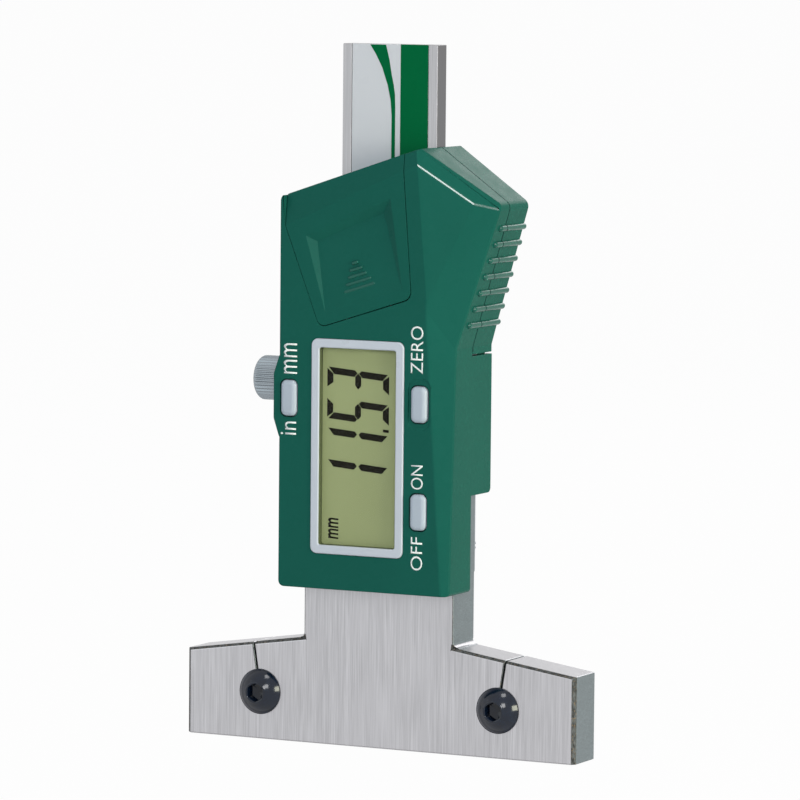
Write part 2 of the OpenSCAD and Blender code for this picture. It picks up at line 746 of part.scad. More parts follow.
// Sliding cover with a thumb recess that deepens upwards and an arrow of ridges
module battery_cover() {
    color(casing_green) {
        difference() {
            union() {
                slab(face_y, cover_back) intersection() {
                    polygon(cover_outline());
                    polygon(casing_outline());
                }
                slab(cover_back - 0.7, cover_back) tongue_outline();
            }
            facet_cuts();
            thumb_recess();
        }
        intersection() {
            for (i = [0:arrow_ridges - 1])
                translate([arrow_x - i * arrow_pitch * tan(arrow_lean), face_y + 0.3,
                    arrow_z + i * arrow_pitch]) rotate([0, -cover_lean, 0])
                    arrow_ridge(arrow_len * (1 - i * arrow_taper));
            slab(face_y - 0.3, cover_back) polygon(cover_outline());
        }
    }
}

// Rounded ridge of the arrow, lying along X
module arrow_ridge(length) {
    translate([-length / 2, 0, 0]) rotate([0, 90, 0])
        cylinder(d = ridge_d, h = length, $fn = fine);
    for (x = [-1, 1]) translate([x * length / 2, 0, 0]) sphere(d = ridge_d, $fn = fine);
}

// Cutter of the thumb recess. Its floor and its three sloping walls run out to nothing
// at the lower end.
module thumb_recess() {
    foot = [for (p = recess_foot) [p[0], face_y, p[1]]];
    top = [for (p = recess_top) [p[0], face_y, p[1]]];
    floor_top = [for (i = [0, 1]) top[i]
        + [recess_inset[i][0], thumb_depth, recess_inset[i][1]]];
    intersection() {
        ahead_of(foot[0], foot[1], floor_top[0]);
        ahead_of(foot[0], top[0], floor_top[0]);
        ahead_of(foot[1], top[1], floor_top[1]);
        ahead_of(top[0], top[1], floor_top[0]);
    }
}

module coin_cell() {
    color("#c9ccd0") {
        pin_y(cell_x, cell_z, cell_d, cell_front, cell_back - 0.3);
        pin_y(cell_x, cell_z, cell_d - 2.4, cell_front, cell_back);
    }
}

// Spring tongue on the board under the cell's small face
module battery_contact_minus() {
    color("#d8c27a") translate([cell_x - contact_w / 2, cell_back + touch_gap, contact_low_z]) {
        cube([contact_w, 0.25, contact_run]);
        cube([contact_w, board_front - cell_back - touch_gap, 0.8]);
    }
}

// Side spring that touches the cell's rim
module battery_contact_plus() {
    rim_x = cell_x + cell_d / 2;
    color("#d8c27a") translate([rim_x + touch_gap, cell_front + 0.3, contact_low_z + 1.5]) {
        cube([0.3, cell_t - 0.9, cell_d * 0.45]);
        cube([0.3, board_front - cell_front - 0.3, contact_w / 2]);
    }
}

module circuit_board() {
    color("#1f6b3a") difference() {
        slab(board_front, board_back) translate([board_shift, (frame_step + bridge_low) / 2])
            pill(board_w, bridge_low - frame_step - 1, 0.5);
        for (p = back_screw_at) pin_y(p[0], p[1], boss_d + 0.3, board_front - 1, board_back + 1);
        for (p = board_screw_at)
            pin_y(p[0], p[1], small_screw_d + 0.2, board_front - 1, board_back + 1);
    }
}

// The two screws that hold the board on the rails, heads towards the front
module board_screws() {
    color(dark_steel) for (p = board_screw_at) {
        pin_y(p[0], p[1], head_d, board_front - head_h, board_front);
        pin_y(p[0], p[1], small_screw_d, board_front - head_h / 2, board_back + 1.25
            * small_screw_d);
    }
}

module display_bezel() {
    color(label_white) slab_ring(face_y - bezel_out, flange_front) {
        pill(bezel_w, bezel_h, 1.05);
        pill(bezel_w - 2 * bezel_border, bezel_h - 2 * bezel_border, 0.35);
    }
    color(label_white) slab_ring(flange_front - eps, flange_front + flange_t) {
        square([bezel_w, bezel_h + 1.6], center = true);
        square([bezel_w - bezel_border, bezel_h - bezel_border], center = true);
    }
}

// First child minus second child, as a ring at the display
module slab_ring(y0, y1) {
    slab(y0, y1) translate([display_x, display_z]) difference() {
        children(0);
        children(1);
    }
}

module display_window() {
    color("#c8cfae", 0.6) slab(window_front, window_front + window_t)
        translate([display_x, display_z]) pill(bezel_w - 2 * bezel_border - 2 * seat_gap,
        bezel_h - 2 * bezel_border - 2 * seat_gap, 0.3);
}

module display_glass() {
    color("#9aa374") slab(glass_front, glass_back) translate([display_x, display_z])
        pill(bezel_w - 2 * bezel_border - 2 * seat_gap,
            bezel_h - 2 * bezel_border - 2 * seat_gap, 0.35);
}

// Plastic frame that carries the glass and the contact strips on the board
module display_carrier() {
    color("#e6e6e0") slab_ring(glass_back, board_front) {
        square([bezel_w - 0.8, bezel_h - 0.8], center = true);
        square([carrier_open_w, carrier_open_h], center = true);
    }
}

module contact_strips() {
    strip_w = carrier_open_w - 1.1;
    color("#3a3a40") for (s = [-1, 1])
        translate([display_x - strip_w / 2, glass_back, display_z - strip_h / 2
            + s * (carrier_open_h / 2 - strip_h / 2 - 0.2)])
        cube([strip_w, board_front - glass_back, strip_h]);
}

module measuring_chip() {
    color("#15171a") translate([display_x - 3, board_front - 0.9, display_z - 3]) cube([6, 0.9, 6]);
}

module dome_switches() {
    color("#c0c4c8") for (p = button_at)
        pin_y(p[0] + (p[0] < 0 ? stem_shift + 0.6 : 0), p[1], 2.6, board_front - dome_h, board_front);
}

// Button cap with its retaining flange and its stem
module button(p, shift) {
    color(grey_plastic) {
        slab(face_y - button_out, flange_front + flange_t) translate(p)
            pill(button_w, button_h, 0.9);
        slab(flange_front, flange_front + flange_t) translate([p[0] + shift / 3, p[1]])
            square([button_w + 0.5 - shift / 3, button_h + 0.7], center = true);
        slab(flange_front, stem_back) translate([p[0] + shift, p[1]])
            square([1.1, 2.4], center = true);
    }
}

module unit_button() { button(button_at[0], stem_shift); }

module zero_button() { button(button_at[1], 0); }

module power_button() { button(button_at[2], 0); }

// Domed socket screw in a tapped hole of the base, flush at the back
module base_screw(side) {
    rise = button_head_h;
    reach = button_head_d / 2;
    dome_r = (reach * reach + rise * rise) / (2 * rise);
    color(black_oxide) difference() {
        union() {
            intersection() {
                translate([side * base_head_x, base_front - rise + dome_r, base_screw_z])
                    sphere(r = dome_r, $fn = 64);
                pin_y(side * base_head_x, base_screw_z, button_head_d, base_front - 3, base_front);
            }
            pin_y(side * base_head_x, base_screw_z, base_thread_d, base_front - rise / 2,
                base_back - 0.5);
        }
        translate([side * base_head_x, base_front - rise - 1, base_screw_z]) rotate([-90, 0, 0])
            cylinder(d = hex_af / cos(30), h = rise + 1.6, $fn = 6);
    }
}

module base_screw_left() { base_screw(-1); }

module base_screw_right() { base_screw(1); }

base_frame();
beam();
scale_strip();
beam_label();
gib_strip();
gib_screws();
lock_screw();
lock_pad();
rear_plate();
back_screws();
front_casing();
rear_casing();
rear_casing_screws();
battery_cover();
coin_cell();
battery_contact_plus();
battery_contact_minus();
circuit_board();
board_screws();
display_bezel();
display_window();
display_glass();
display_carrier();
contact_strips();
measuring_chip();
dome_switches();
unit_button();
zero_button();
power_button();
base_screw_left();
base_screw_right();
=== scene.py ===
"""Looks of the digital depth caliper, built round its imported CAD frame.

Sizes are in millimetres in the row frame, as in the CAD source, and are turned into
metres where a mesh is made. The front is -Y, the display side, and the beam stands
along Z. Steel, plastic, prints and the display get their shape and finish here.
"""

import math
from collections import namedtuple

import bmesh
import bpy
from mathutils import Matrix, Vector


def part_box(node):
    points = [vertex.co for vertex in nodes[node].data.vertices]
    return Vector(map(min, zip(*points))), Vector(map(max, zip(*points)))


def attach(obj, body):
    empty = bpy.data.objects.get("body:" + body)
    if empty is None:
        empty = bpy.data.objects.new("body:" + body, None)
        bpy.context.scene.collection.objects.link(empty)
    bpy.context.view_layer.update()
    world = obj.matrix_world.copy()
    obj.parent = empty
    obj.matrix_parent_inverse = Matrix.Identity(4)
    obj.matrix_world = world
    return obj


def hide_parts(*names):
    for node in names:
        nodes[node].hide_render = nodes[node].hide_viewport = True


MM = 0.001
SAME_PLACE = 2e-6  # CAD vertices nearer than this are one, in metres
FLAT_TURN = math.radians(0.4)  # faces that turn less than this are one
FIN_TURN = math.radians(179)  # faces that turn more than this are a wall folded on itself
SHARP_ANGLE = 24  # edges flatter than this are facets of a curve, in degrees
CREASE_ANGLE = 1.5  # unless they lie between two broad facets
BROAD = 0.35  # area over outline of a broad facet, in millimetres
SMOOTH_TURN = 55  # strips that turn less than this shade as one surface, in degrees

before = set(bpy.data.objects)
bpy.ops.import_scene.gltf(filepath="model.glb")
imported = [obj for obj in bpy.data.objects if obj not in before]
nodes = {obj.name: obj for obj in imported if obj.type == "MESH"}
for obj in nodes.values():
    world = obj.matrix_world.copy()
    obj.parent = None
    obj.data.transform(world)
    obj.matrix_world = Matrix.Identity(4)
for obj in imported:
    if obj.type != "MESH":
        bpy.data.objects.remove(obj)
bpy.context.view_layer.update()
scene = bpy.context.scene


def box_mm(node):
    """Lowest and highest corner of a CAD node, in millimetres."""
    low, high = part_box(node)
    return low / MM, high / MM


# Places taken from the frame
FACE_Y = box_mm("front_casing")[0].y
REAR_Y = box_mm("rear_casing")[1].y
BASE_LOW, BASE_HIGH = box_mm("base_frame")
LABEL_LOW, LABEL_HIGH = box_mm("beam_label")
GLASS_LOW, GLASS_HIGH = box_mm("display_glass")
GLASS_MID = (GLASS_LOW + GLASS_HIGH) / 2
KNOB_LOW, KNOB_HIGH = box_mm("lock_screw")

# ---------------------------------------------------------------- meshes


def show(name, data):
    """New object in the scene."""
    obj = bpy.data.objects.new(name, data)
    scene.collection.objects.link(obj)
    return obj


def mesh_object(name, verts, faces, smooth=False):
    """New object from points in millimetres."""
    mesh = bpy.data.meshes.new(name)
    mesh.from_pydata([Vector(v) * MM for v in verts], [], faces)
    mesh.validate()
    if smooth:
        mesh.shade_smooth()
    return show(name, mesh)


def finish_piece(obj, body, shades, replaces=()):
    """Gives a new piece its materials, its body, and what it stands for."""
    obj.data.materials.clear()
    for shade in shades:
        obj.data.materials.append(shade)
    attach(obj, body)
    if replaces:
        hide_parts(*replaces)


def paint_faces(obj, index, test):
    """Gives the material of that index to the faces that pass the test."""
    for face in obj.data.polygons:
        if test(face):
            face.material_index = index


def weld(work, distance=SAME_PLACE):
    bmesh.ops.remove_doubles(work, verts=work.verts, dist=distance)


def face_outwards(work):
    bmesh.ops.recalc_face_normals(work, faces=work.faces)


def plate(name, outlines, y_front, y_back):
    """Flat plates from X-Z outlines, with their front at y_front."""
    verts, faces = [], []
    for outline in outlines:
        start, count = len(verts), len(outline)
        verts += [(x, y_front, z) for x, z in outline]
        verts += [(x, y_back, z) for x, z in outline]
        faces.append(tuple(range(start, start + count)))
        faces.append(tuple(range(start + 2 * count - 1, start + count - 1, -1)))
        for i in range(count):
            j = (i + 1) % count
            faces.append((start + i, start + count + i, start + count + j, start + j))
    obj = mesh_object(name, verts, faces)
    work = bmesh.new()
    work.from_mesh(obj.data)
    face_outwards(work)
    work.to_mesh(obj.data)
    work.free()
    return obj


def skin(name, rings, sharp):
    """Closed piece over rings of equally many points; turns above sharp degrees stay crisp."""
    steps = len(rings[0])
    faces = []
    for row in range(len(rings) - 1):
        a, b = row * steps, (row + 1) * steps
        for i in range(steps):
            j = (i + 1) % steps
            faces.append((a + i, a + j, b + j, b + i))
    obj = mesh_object(name, [point for ring in rings for point in ring], faces, smooth=True)
    work = bmesh.new()
    work.from_mesh(obj.data)
    weld(work, 1e-6)
    face_outwards(work)
    for edge in work.edges:
        edge.smooth = edge.calc_face_angle(0) < math.radians(sharp)
    work.to_mesh(obj.data)
    work.free()
    return obj


def breadth(face):
    """Area over outline, which tells a facet of the shape from a strip of an arc."""
    return face.calc_area() / face.calc_perimeter() / MM


def breadth_of(mesh, face):
    """The same for a face of a finished mesh."""
    points = [mesh.vertices[v].co for v in face.vertices]
    outline = sum((a - b).length for a, b in zip(points, points[1:] + points[:1]))
    return face.area / max(outline, 1e-9) / MM


def fold_in_fins(work):
    """Takes away walls without thickness that a cut has left on a shell's edge."""
    folds = [
        edge for edge in work.edges
        if len(edge.link_faces) == 2 and edge.calc_face_angle(0) > FIN_TURN
    ]
    for vert in {vert for edge in folds for vert in edge.verts}:
        along_y = [
            edge.other_vert(vert) for edge in vert.link_edges
            if edge not in folds and (edge.other_vert(vert).co - vert.co).xz.length < SAME_PLACE
        ]
        if along_y:
            vert.co = min(along_y, key=lambda other: (other.co - vert.co).length).co
    weld(work)
    bmesh.ops.dissolve_degenerate(work, edges=work.edges, dist=1e-6)


def keep_inside(mesh, limits):
    """Moves the vertices that lie outside another mesh's box back onto it."""
    places = [vert.co for vert in limits.vertices]
    for axis in range(3):
        low, high = min(p[axis] for p in places), max(p[axis] for p in places)
        for vert in mesh.vertices:
            vert.co[axis] = min(high, max(low, vert.co[axis]))


def set_normals(mesh):
    """Flat faces stay flat; strips between them shade smoothly from one to the next."""
    around = [[] for _ in mesh.vertices]
    for face in mesh.polygons:
        for vert in face.vertices:
            around[vert].append(face)
    turn = math.cos(math.radians(SMOOTH_TURN))
    normals = []
    for face in mesh.polygons:
        own = face.normal.copy()
        broad = breadth_of(mesh, face) > BROAD
        for vert in face.vertices:
            near = [] if broad else [f for f in around[vert] if f.normal.dot(own) > turn]
            total = sum((f.normal * f.area for f in near), Vector())
            normals.append(total.normalized() if total.length > 0 else own)
    mesh.normals_split_custom_set(normals)


# An edge's middle in millimetres, its faces' normals, whether it is convex, its turn
Edge = namedtuple("Edge", "middle sides convex angle")


def soften(node, name, width, weight, segments=3):
    """Copy of a CAD node with rounded edges.

    weight takes an Edge and gives the share of width that it is rounded by.
    """
    mesh = bpy.data.meshes.new(name)
    work = bmesh.new()
    work.from_mesh(nodes[node].data)
    weld(work)
    fold_in_fins(work)
    bmesh.ops.dissolve_limit(work, angle_limit=FLAT_TURN, verts=work.verts, edges=work.edges)
    layer = work.edges.layers.float.new("bevel_weight_edge")
    for edge in work.edges:
        if len(edge.link_faces) != 2:
            continue
        angle = math.degrees(edge.calc_face_angle(0))
        curved = any(breadth(face) < BROAD for face in edge.link_faces)
        if angle < (SHARP_ANGLE if curved else CREASE_ANGLE):
            continue
        middle = (edge.verts[0].co + edge.verts[1].co) / 2 / MM
        sides = [face.normal for face in edge.link_faces]
        edge[layer] = weight(Edge(middle, sides, edge.is_convex, angle))
        edge.smooth = edge[layer] > 0
    for face in work.faces:
        face.smooth = True
    work.to_mesh(mesh)
    work.free()
    obj = show(name, mesh)
    add_bevel(obj, width, segments, "WEIGHT")
    view = bpy.context.evaluated_depsgraph_get()
    made = bpy.data.meshes.new_from_object(obj.evaluated_get(view))
    obj.modifiers.clear()
    obj.data = made
    # A rounded corner may swell by some hundredths
    keep_inside(made, nodes[node].data)
    set_normals(made)
    return obj


def add_bevel(obj, width, segments, limit):
    bevel = obj.modifiers.new("rounding", "BEVEL")
    bevel.width = width * MM
    bevel.segments = segments
    bevel.limit_method = limit
    bevel.angle_limit = math.radians(SHARP_ANGLE)
    bevel.use_clamp_overlap = False
    bevel.miter_outer = "MITER_ARC"
    bevel.loop_slide = False


def dress(node, shade, width=0.0, segments=2):
    """Gives a CAD node its material and, on top of its own mesh, rounded edges."""
    obj = nodes[node]
    obj.data.materials.clear()
    obj.data.materials.append(shade)
    if width:
        seams = obj.modifiers.new("weld", "WELD")
        seams.merge_threshold = SAME_PLACE
        flat = obj.modifiers.new("flat", "DECIMATE")
        flat.decimate_type = "DISSOLVE"
        flat.angle_limit = FLAT_TURN
        add_bevel(obj, width, segments, "ANGLE")
        shading = obj.modifiers.new("shading", "WEIGHTED_NORMAL")
        shading.keep_sharp = True
        shading.weight = 90


# ---------------------------------------------------------------- materials


def calculate(tree, operation, *values):
    """Output of a math node that is fed with sockets or numbers."""
    made = tree.nodes.new("ShaderNodeMath")
    made.operation = operation
    for socket, value in zip(made.inputs, values):
        if isinstance(value, float):
            socket.default_value = value
        else:
            tree.links.new(value, socket)
    return made.outputs[0]


class Shade:
    """A node material in the making: a Principled shader and what feeds it."""

    def __init__(self, name, color, roughness, metallic=0.0, **sockets):
        self.material = bpy.data.materials.new(name)
        self.material.use_nodes = True
        self.tree = self.material.node_tree
        self.shader = self.tree.nodes["Principled BSDF"]
        self.place = self.node("ShaderNodeTexCoord").outputs["Object"]
        self.set("Base Color", (*color, 1.0))
        self.set("Roughness", roughness)
        self.set("Metallic", metallic)
        for key, value in sockets.items():
            self.set(key.replace("_", " "), value)

    def node(self, kind, **values):
        made = self.tree.nodes.new(kind)
        for key, value in values.items():
            setattr(made, key, value)
        return made

    def set(self, socket, value):
        self.shader.inputs[socket].default_value = value

    def link(self, source, target):
        self.tree.links.new(source, target)

    def noise(self, scale, detail=2.0, offset=0.0):
        """Noise with its own scale along X, Y and Z, per metre."""
        mapping = self.node("ShaderNodeMapping")
        mapping.inputs["Scale"].default_value = scale
        mapping.inputs["Location"].default_value = (offset, offset, offset)
        self.link(self.place, mapping.inputs["Vector"])
        made = self.node("ShaderNodeTexNoise")
        made.inputs["Scale"].default_value = 1.0
        made.inputs["Detail"].default_value = detail
        self.link(mapping.outputs["Vector"], made.inputs["Vector"])
        return made.outputs["Fac"]

    def grain(self, scale, detail=2.0, offset=0.0):
        """Noise with one scale for all directions."""
        return self.noise((scale, scale, scale), detail, offset)

    def spread(self, value, low, high, to_low, to_high):
        """Maps the range low..high of a value to another range, clamped."""
        made = self.node("ShaderNodeMapRange")
        for key, number in zip(
            ("From Min", "From Max", "To Min", "To Max"), (low, high, to_low, to_high)
        ):
            made.inputs[key].default_value = number
        self.link(value, made.inputs["Value"])
        return made.outputs["Result"]

    def mix(self, factor, first, second):
        """Mixes two colours, each a tuple or a socket."""
        made = self.node("ShaderNodeMix", data_type="RGBA")
        self.link(factor, made.inputs["Factor"])
        for key, color in (("A", first), ("B", second)):
            socket = [s for s in made.inputs if s.name == key and s.type == "RGBA"][0]
            if isinstance(color, tuple):
                socket.default_value = (*color, 1.0)
            else:
                self.link(color, socket)
        return [s for s in made.outputs if s.type == "RGBA"][0]

    def color(self, socket):
        self.link(socket, self.shader.inputs["Base Color"])

    def roughness(self, socket):
        self.link(socket, self.shader.inputs["Roughness"])

    def bump(self, height, distance):
        """Adds a bump of that height in millimetres."""
        made = self.node("ShaderNodeBump")
        made.inputs["Distance"].default_value = distance * MM
        made.inputs["Strength"].default_value = 1.0
        self.link(height, made.inputs["Height"])
        self.link(made.outputs["Normal"], self.shader.inputs["Normal"])


def srgb(code):
    """Linear colour from a hexadecimal code."""
    values = [int(code[i : i + 2], 16) / 255 for i in (1, 3, 5)]
    return tuple(v / 12.92 if v < 0.04045 else ((v + 0.055) / 1.055) ** 2.4 for v in values)


def scaled(color, factor):
    return tuple(min(1.0, c * factor) for c in color)


def moulded(name, code, roughness, grain=0.004, contrast=0.08, **sockets):
    """Moulded plastic: fine spark-eroded grain and a faintly uneven gloss."""
    color = srgb(code)
    shade = Shade(name, color, roughness, **sockets)
    blotch = shade.grain(90, 3.0)
    shade.color(shade.mix(blotch, scaled(color, 1 - contrast), scaled(color, 1 + contrast)))
    gloss = shade.grain(420, 2.0, 3.0)
    shade.roughness(shade.spread(gloss, 0.3, 0.7, roughness - 0.05, roughness + 0.05))
    shade.bump(shade.grain(3200, 2.0, 7.0), grain)
    return shade.material


def ground_steel(name, color, roughness, along, wear, side_shade=1.0):
    """Ground steel: fine lines that run one way, with faint broader bands.

    along is the scale of the lines' noise, wear their contrast. The last argument darkens
    the faces that look along X with painted shade.
    """
    shade = Shade(name, color, roughness, metallic=1.0)
    lines = shade.noise(along, 3.0)
    bands = shade.noise(tuple(s / 9 for s in along), 2.0, 5.0)
    clouds = shade.noise((70, 70, 50), 3.0, 11.0)
    fine = shade.mix(
        shade.spread(lines, 0.3, 0.7, 0.0, 1.0), scaled(color, 1 - wear), scaled(color, 1 + wear)
    )
    broad = shade.mix(shade.spread(bands, 0.35, 0.65, 0.0, 0.35), fine, scaled(color, 0.86))
    front = shade.mix(shade.spread(clouds, 0.4, 0.75, 0.0, 0.3), broad, scaled(color, 1.12))
    # Painted shade: faces that look along X are darkened by the last argument's factor
    if side_shade < 1:
        split = shade.node("ShaderNodeSeparateXYZ")
        shade.link(shade.node("ShaderNodeTexCoord").outputs["Normal"], split.inputs[0])
        size = calculate(shade.tree, "ABSOLUTE", split.outputs["X"])
        side = shade.spread(size, 0.6, 0.9, 0.0, 1.0)
        front = shade.mix(side, front, scaled(color, side_shade))
    shade.color(front)
    shade.roughness(shade.spread(lines, 0.25, 0.75, roughness - 0.06, roughness + 0.1))
    shade.bump(lines, 0.0022)
    return shade.material


def rough_cut(name):
    """Coarse machined chamfer: dark, pitted, with brownish specks."""
    shade = Shade(name, srgb("#4a4d4e"), 0.6, metallic=0.6)
    pits = shade.noise((2600, 2600, 1300), 4.0)
    specks = shade.noise((5200, 5200, 2600), 2.0, 4.0)
    dark = shade.mix(shade.spread(pits, 0.35, 0.65, 0.0, 1.0), srgb("#2c2e2e"), srgb("#5d6061"))
    shade.color(shade.mix(shade.spread(specks, 0.58, 0.66, 0.0, 0.7), dark, srgb("#7d6a52")))
    shade.bump(pits, 0.05)
    return shade.material


def plain_metal(name, code, roughness):
    """Machined or stamped metal with a faint blotch in tone and gloss."""
    color = srgb(code)
    shade = Shade(name, color, roughness, metallic=1.0)
    blotch = shade.grain(700, 3.0)
    shade.color(shade.mix(blotch, scaled(color, 0.88), scaled(color, 1.1)))
    shade.roughness(shade.spread(blotch, 0.3, 0.7, roughness - 0.06, roughness + 0.08))
    shade.bump(shade.grain(5000, 2.0, 2.0), 0.003)
    return shade.material


def black_oxide():
    """Blackened screws: deep blue-black with a soft gloss."""
    shade = Shade("black_oxide", srgb("#0f1722"), 0.12, Specular_IOR_Level=0.4)
    haze = shade.grain(900, 3.0)
    shade.color(shade.mix(haze, srgb("#050b15"), srgb("#0f1c31")))
    shade.roughness(shade.spread(haze, 0.3, 0.7, 0.09, 0.18))
    shade.bump(shade.grain(4200, 2.0, 2.0), 0.0016)
    return shade.material


def display_grey():
    """Reflective liquid crystal: olive grey with a very fine cell grid."""
    color = srgb("#acb684")
    shade = Shade("display_grey", color, 0.5, Specular_IOR_Level=0.1)
    cells = shade.grain(5200, 1.0)
    clouds = shade.grain(70, 2.0, 6.0)
    base = shade.mix(clouds, scaled(color, 0.92), scaled(color, 1.06))
    shade.color(shade.mix(shade.spread(cells, 0.3, 0.7, 0.0, 0.25), base, scaled(color, 1.15)))
    return shade.material


def display_ink():
    """Switched-on segments: near black with a trace of brown."""
    shade = Shade("display_ink", srgb("#17140f"), 0.45, Specular_IOR_Level=0.06)
    shade.color(shade.mix(shade.grain(900), srgb("#0c0a08"), srgb("#1d1913")))
    return shade.material


def window_clear():
    """Clear polished window: mostly see-through, with its reflections kept."""
    shade = Shade("window_clear", (0.05, 0.06, 0.04), 0.06, IOR=1.45, Alpha=0.06)
    shade.roughness(shade.spread(shade.grain(150), 0.3, 0.7, 0.04, 0.1))
    return shade.material


GREEN = "#195a4f"
CASING = moulded("casing_green", GREEN, 0.28, Specular_IOR_Level=0.03)
CASING_RIB = moulded("casing_rib", GREEN, 0.15, 0.001, 0.05, Specular_IOR_Level=0.22)
CASING_RIDGE = moulded("casing_ridge", GREEN, 0.16, 0.001, 0.05, Specular_IOR_Level=0.9)
# Painted shade: a dark green for the broken edges along the parting line and round the buttons
CASING_GROOVE_SHADE = moulded("casing_groove_painted_shade", "#0c2c2a", 0.5, Specular_IOR_Level=0.05)
FRAME_STEEL = ground_steel("frame_steel", (0.485, 0.48, 0.5), 0.36, (11000, 11000, 150), 0.2)
# The beam's steel has painted shade on its faces that look along X
BEAM_STEEL = ground_steel("beam_steel", (0.405, 0.402, 0.415), 0.34, (11000, 11000, 90), 0.2, 0.4)
# Milled finish for faces that look along X, with a much darker colour that is painted shade on
# those sides
MILLED_STEEL_SIDE_SHADE = ground_steel("milled_steel_painted_side_shade", (0.21, 0.245, 0.255), 0.42, (2500, 2500, 7000), 0.24)
ROUGH_STEEL = rough_cut("rough_chamfer")
PLATE_STEEL = plain_metal("plate_steel", "#9aa0a4", 0.4)
KNOB_STEEL = plain_metal("knob_steel", "#8f979d", 0.26)
SCREW_STEEL = plain_metal("screw_steel", "#a9adb1", 0.34)
BRASS = plain_metal("brass", "#c69c55", 0.35)
CONTACT = plain_metal("contact_metal", "#d8c27a", 0.3)
CELL_STEEL = plain_metal("cell_steel", "#c9ccd0", 0.22)
BEZEL = moulded("bezel_silver", "#c2c9d4", 0.32, 0.002, 0.02)
# Painted reflection and shade: dark olive on the bezel's inner walls, for the display mirrored in
# them and the shade inside the opening
BEZEL_WALL_REFLECTION_SHADE = moulded("bezel_wall_painted_reflection_shade", "#5d6646", 0.5, 0.002, 0.04)
BUTTON = moulded("button_grey", "#adb8c5", 0.36, 0.002, 0.03)
CARRIER = moulded("carrier_white", "#dcdcd4", 0.5)
RUBBER = moulded("contact_rubber", "#26262a", 0.7, 0.006)
CHIP = moulded("chip_black", "#15171a", 0.55, 0.006)
BOARD = moulded("board_green", "#1f6b3a", 0.4, 0.002)
LAMINATE = moulded("scale_laminate", "#7c6a3a", 0.45, 0.002)
LABEL_WHITE = moulded("label_white", "#cfd2d8", 0.3, 0.0008, 0.015, Specular_IOR_Level=0.1)
LABEL_GREEN = moulded("label_green", "#006238", 0.3, 0.0008, 0.03, Specular_IOR_Level=0.03)
PRINT_WHITE = moulded("print_white", "#eef1f2", 0.5, 0.001, 0.02)
BLACK_OXIDE = black_oxide()
DISPLAY = display_grey()
INK = display_ink()
WINDOW = window_clear()

# ---------------------------------------------------------------- casing

CASING_ROUND = 0.24  # rounding of the casing's outer edges
COVER_ROUND = 0.16  # rounding that the shares of the battery cover are taken of
SEAM = 0.2  # share on seams, slots and cut-outs
CREASE = 0.45  # share where two facets meet
RIDGE = 0.8  # and where they meet at more than RIDGE_ANGLE
RIDGE_ANGLE = 22
RIM_ANGLE = 60  # holes and slots have rims that turn more than this
GROOVE = 0.4  # share along the parting line and round the buttons
OUTWARDS = 0.35  # least part along Y in the normal of an outer face
FRONT_END = -0.35  # the front shell ends at the parting plane, Y = 0
REAR_START = 0.6  # the rear shell's edges up to here belong to the parting line
FACET_DEPTH = 6.5  # the front's facets reach this far behind its face
TIP_X, TIP_Z, TIP_FADE = -14.4, 82.8, 0.75  # beside the cover the face runs out to a tip

# Regions of the front, each from its lowest to its highest X and Z
DISPLAY_REGION = ((-10.0, 29.0), (7.0, 63.0))
UNIT_REGION = ((-15.0, 49.6), (-11.4, 56.6))
SCOOP_REGION = ((6.5, 48.6), (11.2, 57.9))
ZERO_REGION = ((7.1, 50.1), (10.5, 56.4))
POWER_REGION = ((6.9, 33.6), (10.7, 40.3))
ARROW_REGION = ((-5.5, 68.9), (2.0, 75.2))
COVER_SLOT = ((-14.4, 62.5), (8.6, 90.2))


def within(point, *regions):
    """True where the point lies in one of the regions, seen from the front."""
    return any(
        x0 <= point.x <= x1 and z0 <= point.z <= z1 for (x0, z0), (x1, z1) in regions
    )


def is_passage(middle):
    """True at the opening in the roof that the beam runs through."""
    return abs(middle.x) < 8.3 and -1.5 < middle.y < 2.3 and middle.z > 83.5


def front_weight(edge):
    """Full rounding outside, little on the seams, none inside the shell."""
    middle = edge.middle
    if not edge.convex or is_passage(middle):
        return 0.0
    if middle.y > FRONT_END:
        return GROOVE
    if middle.y > FACE_Y + FACET_DEPTH or all(n.y >= -OUTWARDS for n in edge.sides):
        return SEAM
    if within(middle, UNIT_REGION, SCOOP_REGION, POWER_REGION):
        return GROOVE if edge.angle > RIM_ANGLE else 0.0
    if within(middle, DISPLAY_REGION):
        return SEAM
    if edge.angle < SHARP_ANGLE:
        return RIDGE if edge.angle > RIDGE_ANGLE else CREASE
    if within(middle, COVER_SLOT):
        return SEAM
    at_tip = middle.x < TIP_X and middle.z > TIP_Z
    return 1 - TIP_FADE * (middle.z - TIP_Z) if at_tip else 1.0


def rear_weight(edge):
    """Full rounding at the back, less on the parting line, the seams and the screw holes."""
    middle = edge.middle
    if not edge.convex or is_passage(middle):
        return 0.0
    if middle.y < REAR_START:
        return GROOVE
    at_back = middle.y > REAR_Y - 0.4 and any(n.y > OUTWARDS for n in edge.sides)
    return 1.0 if at_back and not is_screw_hole(edge) else SEAM


def is_screw_hole(edge):
    """True for an edge with a wall that faces the axis of a rear screw."""
    for x, z in REAR_SCREWS:
        inwards = Vector((x - edge.middle.x, 0, z - edge.middle.z))
        near = inwards.length < 3
        if near and any(n.dot(inwards) > 0.7 * inwards.length for n in edge.sides):
            return True
    return False


def cover_weight(edge):
    """Small on the seams; the recess and its ridges keep their moulded edges."""
    at_face = edge.middle.y < FACE_Y + 1.4
    return SEAM if edge.convex and edge.angle > RIM_ANGLE and at_face else 0.0


